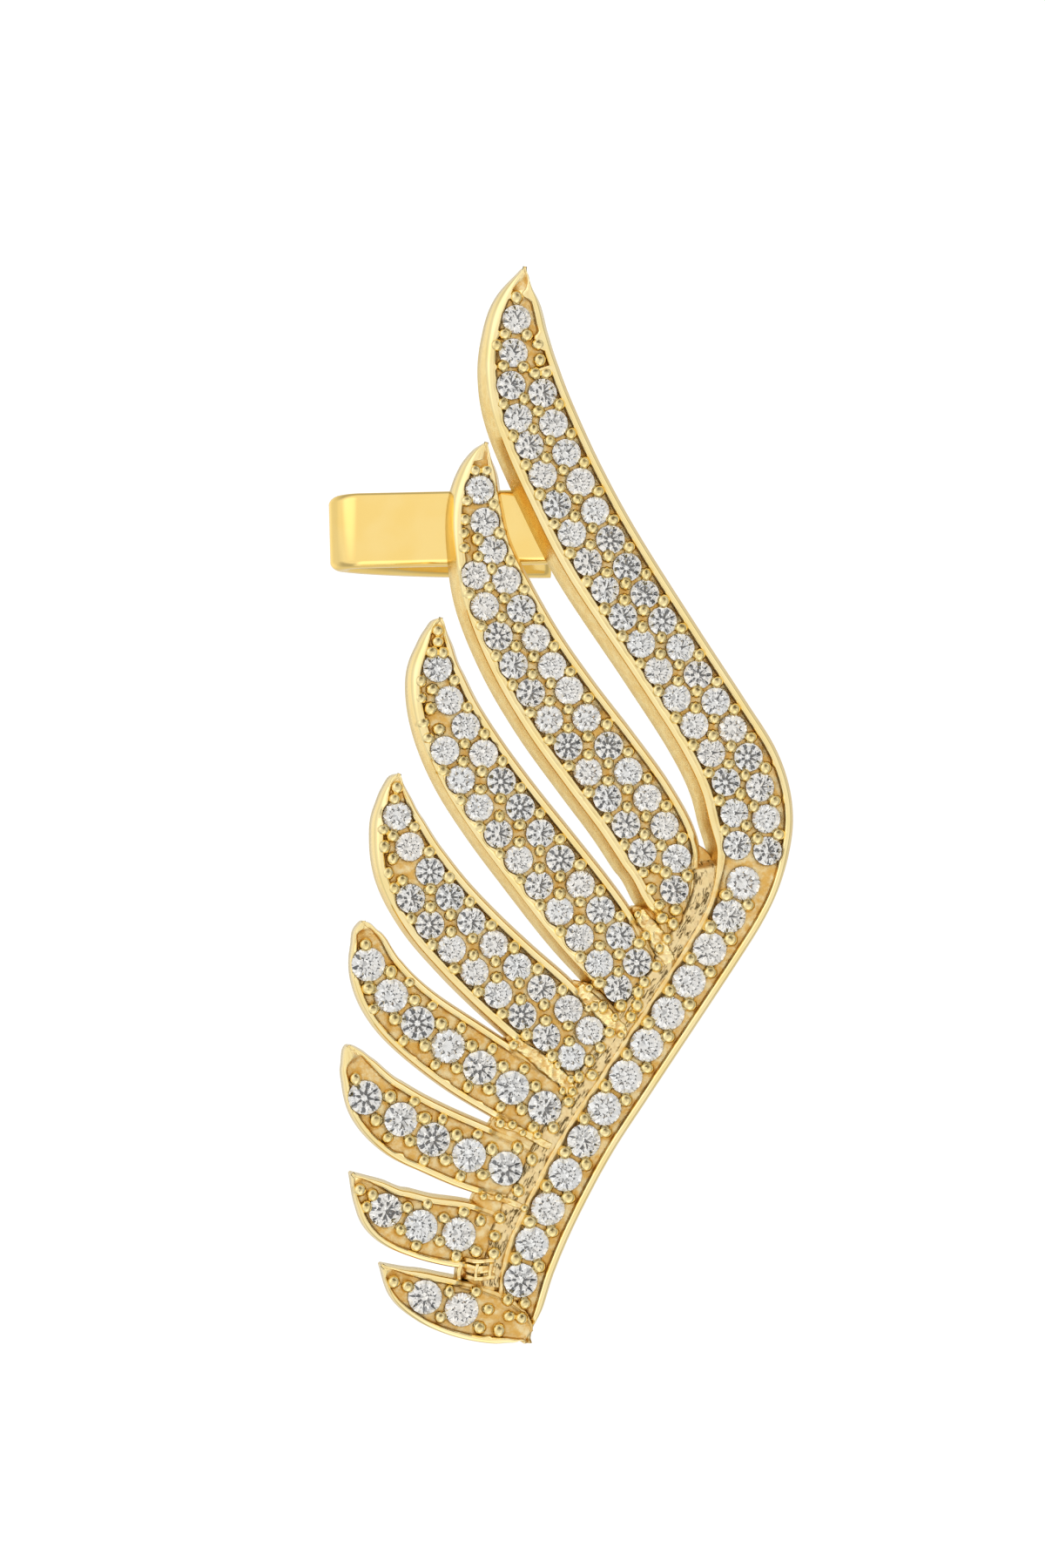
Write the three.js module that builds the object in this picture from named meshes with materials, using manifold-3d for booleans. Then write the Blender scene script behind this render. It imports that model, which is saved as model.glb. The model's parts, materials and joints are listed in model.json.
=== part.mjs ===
// A wing-shaped ear climber: eight pavé feathers on one swept spine, with an ear band soldered behind the
// two top feathers. Millimetres, +Z up. The jewel is drawn flat, face up, then laid down the way it rests.
import * as THREE from 'three';
import { mergeVertices } from 'three/addons/utils/BufferGeometryUtils.js';
import Module from 'manifold-3d';

const wasm = await Module();
wasm.setup();

// Wing plate
const plateHeight = 1.6;
const rimWidth = 0.2;
const channelDepth = 0.45;
const topShare = 0.55;
const leastChannel = 0.12;
const stepsPerStation = 2;
const rowSteps = 12;

// Rough groove between the feather roots and the spine, and the sunk webs in the forks
const trenchHalf = 0.16;
const trenchDepth = 0.3;
const webTop = 1.1;

// Stones: six-sided stand-ins for round brilliants
const smallStone = 1.1;
const largeStone = 1.3;
const rowOffset = 0.6;
const stoneSides = 6;
const seatHeight = 1.1;
const girdleHeight = 1.42;
const tableHeight = 1.62;
const tableRatio = 0.56;

// Ear band
const band = {
  width: 2.85,
  thickness: 0.85,
  level: 10.7,
  frontEnd: 1.9,
  frontDepth: 0.3,
  foldX: -7.45,
  foldRadius: 0.85,
  foldExit: 46,
  legRadius: 12,
  legExit: 15,
  legStraight: 3.0,
  edge: 0.14,
  lean: 0.06,
  turn: 1.5,
};

// The jewel lies on the wing's foot, the bend of the spine and the end of the band
const footward = { x: 0.5, y: -1 };
const backFlatness = 0.001;

// Vertices closer than this are one, and cutting tools stand this far above the plate
const weldDistance = 1e-4;
const toolTop = plateHeight + 1;

// Feathers from tip to root. Station columns: centreline x, centreline y, half width of the base.
// Row columns: side (1 left, -1 right, 0 centre), first stone, pitch, count, stone diameter, shift to the left
// and the half width of the feather below which the row is centred.
const feathers = [
  {
    draft: 0.27,
    stations: [
      [-1.38, 20.5, 0.06],
      [-1.52, 19.3, 0.88],
      [-1.6, 17.95, 1.3],
      [-1.47, 16.45, 1.6],
      [-1, 14.75, 1.75],
      [0.17, 12.15, 1.78],
      [1.62, 9.45, 1.82],
      [4, 5.82, 1.77],
      [5.8, 3.08, 1.78],
      [6.87, 1.18, 1.88],
      [7.3, -0.48, 1.86],
      [7.35, -2.05, 1.57],
      [7.03, -3.58, 1.27],
      [5.96, -5.58, 1.12],
      [2.7, -10.48, 1.11],
      [1.12, -12.88, 1.12],
      [-0.27, -15.46, 1.13],
      [-1.15, -17.55, 1.11],
      [-1.45, -19.35, 0.86],
      [-1.25, -20.5, 0.15],
    ],
    rows: [
      [1, 2.03, 1.242, 19, smallStone, -0.02, 1.05],
      [-1, 4.93, 1.232, 17, smallStone, 0, 1],
      [0, 25.73, 1.46, 13, largeStone, 0.23, 0],
    ],
  },
  {
    draft: 0.25,
    stations: [
      [-2.85, 13.8, 0.06],
      [-2.95, 13.4, 0.4],
      [-3.05, 12.65, 0.8],
      [-3.15, 11.35, 1.1],
      [-2.98, 9.8, 1.28],
      [-2.42, 7.95, 1.56],
      [-1.35, 5.75, 1.72],
      [0, 3.65, 1.82],
      [1.5, 1.65, 1.86],
      [2.88, -0.22, 1.84],
      [3.83, -1.88, 1.74],
      [4.15, -3.25, 1.35],
      [4.35, -4.35, 0.9],
      [4.2, -5.7, 0.35],
    ],
    rows: [
      [-1, 1.7, 1.243, 15, smallStone, -0.04, 1],
      [1, 5.13, 1.243, 11, smallStone, 0, 0.9],
    ],
  },
  {
    draft: 0.22,
    stations: [
      [-4.5, 7.1, 0.06],
      [-4.58, 6.75, 0.38],
      [-4.65, 6.05, 0.76],
      [-4.7, 4.85, 1.15],
      [-4.25, 3.25, 1.42],
      [-3.35, 1.5, 1.6],
      [-2.13, -0.28, 1.68],
      [-0.7, -2.12, 1.72],
      [0.75, -3.96, 1.73],
      [1.78, -5.28, 1.63],
      [2.75, -6.65, 1.35],
      [3.5, -7.55, 0.75],
    ],
    rows: [
      [-1, 1.93, 1.244, 12, smallStone, 0.02, 1],
      [1, 5.2, 1.255, 10, smallStone, 0.09, 0.95],
    ],
  },
  {
    draft: 0.18,
    stations: [
      [-6.05, 1.15, 0.06],
      [-6.13, 0.8, 0.38],
      [-6.2, 0.15, 0.75],
      [-6.15, -0.85, 1.1],
      [-5.65, -2.35, 1.45],
      [-4.7, -3.85, 1.6],
      [-3.45, -5.25, 1.65],
      [-2.02, -6.63, 1.68],
      [-0.48, -7.98, 1.67],
      [0.7, -9.1, 1.45],
      [1.6, -10.05, 1],
    ],
    rows: [
      [-1, 1.63, 1.237, 10, smallStone, 0.02, 1],
      [1, 4.92, 1.235, 8, smallStone, 0.08, 0.95],
    ],
  },
  {
    draft: 0.12,
    stations: [
      [-7.55, -4.45, 0.12],
      [-7.4, -4.92, 0.52],
      [-7.25, -5.35, 0.76],
      [-6.95, -6.35, 1.06],
      [-6.35, -7.35, 1.25],
      [-5.35, -8.35, 1.36],
      [-3.55, -9.65, 1.45],
      [-1.65, -10.85, 1.4],
      [-0.35, -11.65, 1.35],
      [0.6, -12.2, 0.85],
    ],
    rows: [
      [0, 1.6, 1.46, 7, largeStone, 0.04, 0],
    ],
  },
  {
    draft: 0.12,
    stations: [
      [-8.02, -9.2, 0.16],
      [-7.83, -9.66, 0.52],
      [-7.6, -10.17, 0.79],
      [-6.93, -11.27, 1.2],
      [-5.9, -12.15, 1.37],
      [-4.6, -12.8, 1.37],
      [-3.2, -13.4, 1.36],
      [-1.65, -13.95, 1.25],
      [-0.8, -14.3, 0.8],
    ],
    rows: [
      [0, 2.03, 1.495, 5, largeStone, 0.05, 0],
    ],
  },
  {
    draft: 0.1,
    stations: [
      [-7.9, -14, 0.12],
      [-7.22, -14.82, 0.75],
      [-6.42, -15.57, 1.15],
      [-5.2, -16.05, 1.27],
      [-3.65, -16.35, 1.32],
      [-2.35, -16.6, 1.1],
      [-1.6, -16.78, 0.7],
    ],
    rows: [
      [0, 1.92, 1.49, 3, largeStone, 0.03, 0],
    ],
  },
  {
    draft: 0.1,
    stations: [
      [-6.75, -17.45, 0.12],
      [-5.95, -18.25, 0.74],
      [-5, -18.75, 1.02],
      [-4.05, -19.08, 1.13],
      [-3.05, -19.35, 1.12],
      [-2.05, -19.65, 0.95],
      [-1.35, -20.05, 0.45],
    ],
    rows: [
      [0, 2.09, 1.48, 2, largeStone, 0.04, 0],
    ],
  },
];

// Groove along the spine and webs in the forks: x, y, half width
const trench = [
  [5.9, -2.4, trenchHalf],
  [5.74, -3.62, trenchHalf],
  [4.85, -5.2, trenchHalf],
  [1.65, -9.95, trenchHalf],
  [0, -12.4, trenchHalf],
  [-1.45, -15.1, trenchHalf],
  [-2.36, -17.72, trenchHalf],
];
const webs = [
  [
    [5.65, -1.4, 0.25],
    [5.7, -3, 0.5],
    [4.6, -5.2, 0.8],
    [2.4, -8.6, 1],
    [0, -12, 0.9],
    [-1.6, -15.2, 0.8],
    [-2.2, -18.2, 0.7],
  ],
  [[2.95, -3.95, 0.2], [3.45, -4.9, 0.35], [4, -5.9, 0.4]],
  [[0.55, -6.55, 0.2], [1.25, -7.3, 0.35], [2, -8.1, 0.4]],
  [[-2.55, -12.1, 0.35], [-1, -13, 0.45]],
  [[-3.15, -14.9, 0.4], [-1.5, -15.3, 0.5]],
  [[-3.8, -17.75, 0.35], [-2, -18, 0.45]],
];

function solid(geometry) {
  const bare = geometry.clone();
  bare.deleteAttribute('normal');
  bare.deleteAttribute('uv');
  const merged = mergeVertices(bare, weldDistance);
  return new wasm.Manifold(new wasm.Mesh({
    numProp: 3,
    vertProperties: new Float32Array(merged.attributes.position.array),
    triVerts: new Uint32Array(merged.index.array),
  }));
}

// Smooth centreline with the local half width and the direction to its left.
function smoothLine(stations, steps = stepsPerStation) {
  const path = new THREE.CatmullRomCurve3(
    stations.map(([x, y, half]) => new THREE.Vector3(x, y, half)), false, 'catmullrom', 0.5);
  const count = (stations.length - 1) * steps;
  const points = Array.from({ length: count + 1 }, (_, i) => path.getPoint(i / count));
  return points.map((point, i) => {
    const before = points[Math.max(i - 1, 0)];
    const after = points[Math.min(i + 1, count)];
    const along = new THREE.Vector2(after.x - before.x, after.y - before.y).normalize();
    return { x: point.x, y: point.y, half: point.z, left: new THREE.Vector2(along.y, -along.x) };
  });
}

// Closed body swept along a line: each section is a list of [sideways, height] corners.
function sweep(line, section) {
  const rings = line.map((at) => section(at).map(([side, height]) => [
    at.x + at.left.x * side, at.y + at.left.y * side, height]));
  const corners = rings[0].length;
  const index = [];
  for (let i = 0; i + 1 < rings.length; i += 1) {
    for (let j = 0; j < corners; j += 1) {
      const a = i * corners + j;
      const b = i * corners + (j + 1) % corners;
      index.push(a, b, b + corners, a, b + corners, a + corners);
    }
  }
  const last = (rings.length - 1) * corners;
  for (let j = 1; j + 1 < corners; j += 1) {
    index.push(0, j + 1, j, last, last + j, last + j + 1);
  }
  const geometry = new THREE.BufferGeometry();
  geometry.setAttribute('position', new THREE.Float32BufferAttribute(rings.flat(2), 3));
  geometry.setIndex(index);
  return solid(geometry);
}

function featherBody({ stations, draft }) {
  return sweep(smoothLine(stations), ({ half }) => {
    const top = Math.max(half - draft, half * topShare);
    return [[-half, 0], [-top, plateHeight], [top, plateHeight], [half, 0]];
  });
}

function featherChannel({ stations, draft }) {
  const inset = draft + rimWidth;
  const line = smoothLine(stations).filter(({ half }) => half > inset + leastChannel);
  return sweep(line, ({ half }) => [
    [-(half - inset), plateHeight - channelDepth], [-(half - inset), toolTop],
    [half - inset, toolTop], [half - inset, plateHeight - channelDepth]]);
}

// A row's own path: pushed towards its rim as far as the feather is wide enough for two stones.
function stonePlaces({ stations, rows }) {
  const line = smoothLine(stations, rowSteps);
  return rows.flatMap(([side, first, pitch, count, size, shift, centredHalf]) => {
    const path = line.map(({ x, y, half, left }) => {
      const away = side * Math.min(rowOffset, Math.max(0, half - centredHalf)) + shift;
      return new THREE.Vector2(x + left.x * away, y + left.y * away);
    });
    const places = [];
    let travelled = 0;
    for (let i = 1; i < path.length && places.length < count; i += 1) {
      const step = path[i].distanceTo(path[i - 1]);
      const wanted = first + places.length * pitch;
      if (travelled + step >= wanted) {
        const spot = path[i - 1].clone().lerp(path[i], (wanted - travelled) / step);
        places.push({ spot, size, turn: path[i].clone().sub(path[i - 1]).angle() });
      }
      travelled += step;
    }
    return places;
  });
}

function stone({ spot, size, turn }) {
  const radius = size / 2;
  const profile = [
    [0, seatHeight], [radius, seatHeight], [radius, girdleHeight],
    [radius * tableRatio, tableHeight], [0, tableHeight],
  ].map(([r, height]) => new THREE.Vector2(r, height));
  const gem = new THREE.LatheGeometry(profile, stoneSides);
  gem.rotateX(Math.PI / 2);
  gem.rotateZ(turn);
  gem.translate(spot.x, spot.y, 0);
  return solid(gem);
}

// Ear band: a flat strip bent into an open loop, drawn from the side and extruded across its width.
function earBand() {
  const half = band.thickness / 2;
  const top = -band.frontDepth;
  const foldCentre = new THREE.Vector2(band.foldX, top - band.foldRadius);
  const foldEnd = THREE.MathUtils.degToRad(270 - band.foldExit);
  const legEnd = THREE.MathUtils.degToRad(270 - band.legExit);
  const reach = band.legRadius - band.foldRadius;
  const legCentre = new THREE.Vector2(
    foldCentre.x - reach * Math.cos(foldEnd), foldCentre.y - reach * Math.sin(foldEnd));
  const along = new THREE.Vector2(-Math.sin(legEnd), Math.cos(legEnd));
  const tip = new THREE.Vector2(
    legCentre.x + band.legRadius * Math.cos(legEnd), legCentre.y + band.legRadius * Math.sin(legEnd))
    .addScaledVector(along, band.legStraight);
  const outline = new THREE.Shape();
  outline.moveTo(band.frontEnd, top + half);
  outline.lineTo(foldCentre.x, top + half);
  outline.absarc(foldCentre.x, foldCentre.y, band.foldRadius + half, Math.PI / 2, foldEnd, false);
  outline.absarc(legCentre.x, legCentre.y, band.legRadius + half, foldEnd, legEnd, false);
  outline.absarc(tip.x, tip.y, half, legEnd, legEnd + Math.PI, false);
  outline.absarc(legCentre.x, legCentre.y, band.legRadius - half, legEnd, foldEnd, true);
  outline.absarc(foldCentre.x, foldCentre.y, band.foldRadius - half, foldEnd, Math.PI / 2, true);
  outline.lineTo(band.frontEnd, top - half);
  const strip = new THREE.ExtrudeGeometry(outline, {
    depth: band.width - 2 * band.edge,
    curveSegments: 7,
    bevelThickness: band.edge,
    bevelSize: band.edge,
    bevelOffset: -band.edge,
    bevelSegments: 1,
  });
  strip.translate(0, 0, band.edge - band.width / 2);
  strip.rotateX(Math.PI / 2);
  strip.applyMatrix4(new THREE.Matrix4().makeShear(0, 0, 0, 0, 0, band.lean));
  strip.rotateZ(THREE.MathUtils.degToRad(band.turn));
  strip.translate(0, band.level, 0);
  return strip;
}

const flatWeb = (stations) => sweep(smoothLine(stations), ({ half }) => [
  [-half, 0], [-half, webTop], [half, webTop], [half, 0]]);

const groove = sweep(smoothLine(trench), ({ half }) => [
  [-half, plateHeight - trenchDepth], [-half, toolTop],
  [half, toolTop], [half, plateHeight - trenchDepth]]);

const normalOf = (a, b, c) => b.clone().sub(a).cross(c.clone().sub(a)).normalize();

// Normal of the plane that the jewel lies on, wrapped round it: from the wing's foot, along the edge that
// leaves the whole back on one side, and then down to the corner of the band that leaves everything above.
function restNormal(geometry) {
  const place = geometry.attributes.position;
  const corners = Array.from(
    { length: place.count }, (_, i) => new THREE.Vector3().fromBufferAttribute(place, i));
  const back = corners.filter(({ z }) => Math.abs(z) < backFlatness);
  const underBack = corners.filter(({ z }) => z < -band.frontDepth);
  const reach = ({ x, y }) => x * footward.x + y * footward.y;
  const foot = back.reduce((best, p) => (reach(p) > reach(best) ? p : best));
  const bend = back.filter((p) => p.distanceTo(foot) > band.width)
    .reduce((best, p) => (normalOf(foot, best, p).z < 0 ? p : best));
  const bandEnd = underBack.reduce((best, p) => (
    normalOf(foot, bend, best).dot(p.clone().sub(foot)) < 0 ? p : best));
  return normalOf(foot, bend, bandEnd);
}

const join = (pieces) => pieces.reduce((whole, piece) => whole.add(piece));

const wing = join(feathers.map((feather) => featherBody(feather).subtract(featherChannel(feather))))
  .add(join(webs.map(flatWeb)))
  .subtract(groove);
const stones = join(feathers.flatMap(stonePlaces).map(stone));
const jewel = wing.add(solid(earBand())).add(stones);

const mesh = jewel.getMesh();
const geometry = new THREE.BufferGeometry();
geometry.setAttribute('position', new THREE.Float32BufferAttribute(mesh.vertProperties, 3));
geometry.setIndex(new THREE.Uint32BufferAttribute(mesh.triVerts, 1));

const gold = new THREE.MeshStandardMaterial({ color: 0xf2c65c, roughness: 0.2, metalness: 1 });
const climber = new THREE.Mesh(geometry, gold);
climber.name = 'wing_with_ear_band';
climber.quaternion.setFromUnitVectors(restNormal(geometry), new THREE.Vector3(0, 0, 1));
const { min, max } = new THREE.Box3().setFromObject(climber, true);
climber.position.set(-(min.x + max.x) / 2, -(min.y + max.y) / 2, -min.z);

const group = new THREE.Group();
group.add(climber);
export default group;
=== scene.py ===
import json
import math
import random

import bmesh
import bpy
from mathutils import Matrix, Vector, noise
from mathutils.kdtree import KDTree


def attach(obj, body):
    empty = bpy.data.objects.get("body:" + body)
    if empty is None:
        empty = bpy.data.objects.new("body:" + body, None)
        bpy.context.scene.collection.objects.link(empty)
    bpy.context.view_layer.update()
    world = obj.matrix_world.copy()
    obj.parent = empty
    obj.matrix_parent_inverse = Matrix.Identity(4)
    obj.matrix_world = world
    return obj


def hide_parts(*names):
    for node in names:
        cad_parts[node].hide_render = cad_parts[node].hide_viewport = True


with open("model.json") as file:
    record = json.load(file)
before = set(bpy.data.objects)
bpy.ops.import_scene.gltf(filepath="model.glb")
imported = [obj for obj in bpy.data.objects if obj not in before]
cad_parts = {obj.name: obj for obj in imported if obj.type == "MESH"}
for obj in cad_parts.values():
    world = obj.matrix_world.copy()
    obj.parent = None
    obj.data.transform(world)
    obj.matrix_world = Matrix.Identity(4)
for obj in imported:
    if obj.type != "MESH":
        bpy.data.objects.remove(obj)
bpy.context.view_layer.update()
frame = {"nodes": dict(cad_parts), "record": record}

scene = bpy.context.scene
random.seed(7)


# the drawing lies flat, face up, in millimetres, and is then laid down as the solid is
layout = {"mount": "wing_back", "drawnAt": (1.5, -8.5, 0.0), "scale": 0.001}

mount = next(m for m in frame["record"]["mounts"] if m["name"] == layout["mount"])
tilt = Vector((0, 0, -1)).rotation_difference(Vector(mount["axis"]))
drawnAt = tilt @ (Vector(layout["drawnAt"]) * layout["scale"])
toRow = Matrix.LocRotScale(Vector(mount["pos_m"]) - drawnAt, tilt, Vector([layout["scale"]] * 3))


# camera first, a little to the left of the face and below it
view = {
    "lookAt": (-1.333, 0.8, 0.25), "fromLeft": 6.0, "fromBelow": 0.5, "distance": 250.0,
    "framedHeight": 60.0, "sensorHeight": 36.0, "clip": (0.01, 5.0),
}


def addCamera():
    left, below = math.radians(view["fromLeft"]), math.radians(view["fromBelow"])
    towards = Vector((-math.sin(left), -math.sin(below), math.cos(left))).normalized()
    eye = Vector(view["lookAt"]) + towards * view["distance"]
    side = Vector((0, 1, 0)).cross(towards).normalized()
    up = towards.cross(side)
    turn = Matrix((side, up, towards)).transposed().to_quaternion()
    data = bpy.data.cameras.new("camera")
    data.sensor_fit = "VERTICAL"
    data.sensor_height = view["sensorHeight"]
    data.lens = view["sensorHeight"] * view["distance"] / view["framedHeight"]
    data.clip_start, data.clip_end = view["clip"]
    camera = bpy.data.objects.new("camera", data)
    camera.location = toRow @ eye
    camera.rotation_mode = "QUATERNION"
    camera.rotation_quaternion = tilt @ turn
    scene.collection.objects.link(camera)
    scene.camera = camera
    return tilt @ towards


cameraWay = addCamera()
print("camera ready")


# shader maths is written as expressions on sockets
class Socket:
    def __init__(self, tree, socket):
        self.tree = tree
        self.socket = socket

    def mathNode(self, operation, first, second):
        return self.tree.node("ShaderNodeMath", {"operation": operation}, {0: first, 1: second})

    def __add__(self, other):
        return self.mathNode("ADD", self, other)

    def __radd__(self, other):
        return self.mathNode("ADD", other, self)

    def __sub__(self, other):
        return self.mathNode("SUBTRACT", self, other)

    def __rsub__(self, other):
        return self.mathNode("SUBTRACT", other, self)

    def __mul__(self, other):
        return self.mathNode("MULTIPLY", self, other)

    def __rmul__(self, other):
        return self.mathNode("MULTIPLY", other, self)


class Nodes:
    def __init__(self, nodeTree):
        self.nodeTree = nodeTree
        nodeTree.nodes.clear()

    def node(self, kind, settings=None, values=None, output=0):
        made = self.nodeTree.nodes.new(kind)
        for name, setting in (settings or {}).items():
            setattr(made, name, setting)
        for name, value in (values or {}).items():
            if isinstance(value, Socket):
                self.nodeTree.links.new(value.socket, made.inputs[name])
            else:
                made.inputs[name].default_value = value
        return Socket(self, made.outputs[output]) if len(made.outputs) else None

    def mixColour(self, factor, low, high):
        low, high = [c if isinstance(c, Socket) else (*c, 1) for c in (low, high)]
        return self.node("ShaderNodeMix", {"data_type": "RGBA"}, {0: factor, 6: low, 7: high}, 2)

    def noise(self, place, scale, detail=2.0, roughness=0.5):
        return self.node("ShaderNodeTexNoise", {}, {
            "Vector": place, "Scale": scale, "Detail": detail, "Roughness": roughness})

    def stretch(self, value, low, high, to=(0.0, 1.0)):
        return self.node("ShaderNodeMapRange", {"interpolation_type": "SMOOTHSTEP"}, {
            "Value": value, "From Min": low, "From Max": high, "To Min": to[0], "To Max": to[1]})

    def attribute(self, name):
        return self.node("ShaderNodeAttribute", {"attribute_name": name}, output="Fac")

    def surface(self, values):
        shader = self.node("ShaderNodeBsdfPrincipled", {}, values)
        self.node("ShaderNodeOutputMaterial", {}, {"Surface": shader})

    def combine(self, *axes):
        return self.node("ShaderNodeCombineXYZ", {}, dict(enumerate(axes)))


def newMaterial(name):
    material = bpy.data.materials.new(name)
    material.use_nodes = True
    return material, Nodes(material.node_tree)


# the darkest colour here is mixed in by a per-point attribute as painted shade and painted reflection; the
# streaks use it too
goldFinish = {
    # raw and rawPale are partly painted shade: the matte cast tone made darker and more orange than the
    # metal's own colour
    "polished": (0.97, 0.805, 0.425), "warm": (0.95, 0.76, 0.345), "raw": (0.75, 0.45, 0.12),
    "rawPale": (0.88, 0.72, 0.4), "bare": (0.82, 0.645, 0.36), "paintedShadeAndReflection": (0.12, 0.075, 0.02),
    "edgeTint": (1.0, 0.91, 0.66, 1), "bareShare": 0.0, "toneEdges": (0.35, 0.7), "grainScale": 14000.0,
    "blotchScale": 2800.0, "waveScale": 700.0, "polishedRoughness": 0.13, "rawRoughness": 0.3,
    "grainRoughness": 0.2, "waveRelief": 0.25, "streakRelief": 1.5, "bumpStrength": 0.7,
    "bumpHeight": 0.00003,
    # how often along and across, then a line's width, or a patch's edges and start
    "streak": (1.5, 11.0, 0.068), "streakPatch": (2.0, 3.6, 0.47, 0.57, 7.0),
}


# thin dark lines along the metal, in patches
def streaks(nodes, look):
    along, across = nodes.attribute("along"), nodes.attribute("across")
    longwise, crosswise, width = look["streak"]
    waves = nodes.noise(nodes.combine(along * longwise, across * crosswise), 1.0, 3.0, 0.6)
    line = nodes.node("ShaderNodeMath", {"operation": "ABSOLUTE"}, {0: waves - 0.5})
    longwise, crosswise, low, high, start = look["streakPatch"]
    patches = nodes.noise(nodes.combine(along * longwise, across * crosswise, start), 1.0)
    return (1 - nodes.stretch(line, 0.0, width)) * nodes.stretch(patches, low, high)


def goldMaterial(name, **changes):
    look = {**goldFinish, **changes}
    material, nodes = newMaterial(name)
    place = nodes.node("ShaderNodeTexCoord", output="Object")
    polish, paintedShadeAndReflection = nodes.attribute("polish"), nodes.attribute("paintedShadeAndReflection")
    grain = nodes.noise(place, look["grainScale"], 4.0, 0.7)
    blotch = nodes.noise(place, look["blotchScale"], 3.0, 0.6)
    wavy = nodes.noise(place, look["waveScale"])
    raw = 1 - polish
    # partly painted shade: the low-polish floors, walls and hollows take this darker, more orange raw tone
    rawAndShadedTone = nodes.mixColour(nodes.stretch(blotch, *look["toneEdges"]), look["raw"], look["rawPale"])
    rawAndShadedTone = nodes.mixColour(look["bareShare"], rawAndShadedTone, look["bare"])
    shinyTone = nodes.mixColour(nodes.stretch(wavy, *look["toneEdges"]), look["polished"], look["warm"])
    # painted shade and painted reflection: the per-point dark attribute mixes the tone toward the darkest
    # colour
    tone = nodes.mixColour(paintedShadeAndReflection, nodes.mixColour(polish, rawAndShadedTone, shinyTone), look["paintedShadeAndReflection"])
    streak = 0.0
    if look["bareShare"]:
        streak = streaks(nodes, look)
        tone = nodes.mixColour(streak, tone, look["paintedShadeAndReflection"])
    roughness = look["polishedRoughness"] + raw * look["rawRoughness"]
    roughness = roughness + (grain - 0.5) * look["grainRoughness"] * raw
    relief = (grain + blotch) * raw + wavy * look["waveRelief"] * polish - streak * look["streakRelief"]
    bump = nodes.node("ShaderNodeBump", {}, {
        "Strength": look["bumpStrength"], "Distance": look["bumpHeight"], "Height": relief})
    nodes.surface({
        "Base Color": tone, "Metallic": 1.0, "Roughness": roughness,
        "Specular Tint": look["edgeTint"], "Normal": bump})
    return material


stoneFinish = {
    "cool": (0.85, 0.85, 0.83), "warm": (0.9, 0.86, 0.79), "tintScale": 900.0, "tintEdges": (0.35, 0.65),
    "ior": 2.16,
}


def stoneMaterial():
    material, nodes = newMaterial("clearStone")
    place = nodes.node("ShaderNodeTexCoord", output="Object")
    tint = nodes.stretch(nodes.noise(place, stoneFinish["tintScale"]), *stoneFinish["tintEdges"])
    nodes.surface({
        "Base Color": nodes.mixColour(tint, stoneFinish["cool"], stoneFinish["warm"]),
        "Roughness": 0.0, "IOR": stoneFinish["ior"], "Transmission Weight": 1.0})
    return material


gold = goldMaterial("gold")
bareGold = goldMaterial("bareGold", bareShare=0.75)
bandGold = goldMaterial("bandGold", polished=(0.99, 0.73, 0.27), warm=(0.98, 0.7, 0.23))
clearStone = stoneMaterial()
print("materials ready")

weld = 1e-5  # points closer than this are one


def asMesh(name, bm):
    data = bpy.data.meshes.new(name)
    bm.to_mesh(data)
    bm.free()
    return data


# lay a finished piece down, give it its material, hang it on the body it rides on and hide the part it stands
# for
def finishPiece(name, bm, material, replaced=None, smooth=True):
    bmesh.ops.transform(bm, matrix=toRow, verts=bm.verts)
    bmesh.ops.recalc_face_normals(bm, faces=bm.faces)
    for face in bm.faces:
        face.smooth = smooth
    piece = bpy.data.objects.new(name, asMesh(name, bm))
    scene.collection.objects.link(piece)
    piece.data.materials.append(material)
    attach(piece, "root")
    if replaced:
        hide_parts(replaced)
    print(name, len(piece.data.polygons), "faces")


def smoothStep(value, low, high):
    t = min(max((value - low) / (high - low), 0.0), 1.0)
    return t * t * (3 - 2 * t)


def mix(a, b, t):
    return a + (b - a) * t


def wave(*place):
    return noise.noise(Vector(place))


def toLeft(direction):
    return Vector((direction.y, -direction.x))


# a smooth curve through the second and third of four stations
def between(before, start, end, after, t):
    straight = 2 * start + (end - before) * t
    bend = 2 * before - 5 * start + 4 * end - after
    twist = 3 * start - before - 3 * end + after
    return 0.5 * (straight + bend * t * t + twist * t ** 3)


# a smooth centreline: place, half width, direction to the left and distance from the tip
def smoothLine(stations, spacing):
    knots = [Vector(station) for station in stations]
    knots = [2 * knots[0] - knots[1], *knots, 2 * knots[-1] - knots[-2]]
    points = []
    for i in range(1, len(knots) - 2):
        length = (knots[i + 1].xy - knots[i].xy).length
        steps = max(2, math.ceil(length / spacing))
        points += [between(*knots[i - 1:i + 3], k / steps) for k in range(steps)]
    points.append(knots[-2])
    line, travelled = [], 0.0
    for i, point in enumerate(points):
        before, after = points[max(i - 1, 0)], points[min(i + 1, len(points) - 1)]
        left = toLeft((after.xy - before.xy).normalized())
        if i:
            travelled += (point.xy - before.xy).length
        line.append({"at": point.xy, "half": point.z, "left": left, "travelled": travelled})
    return line


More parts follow.
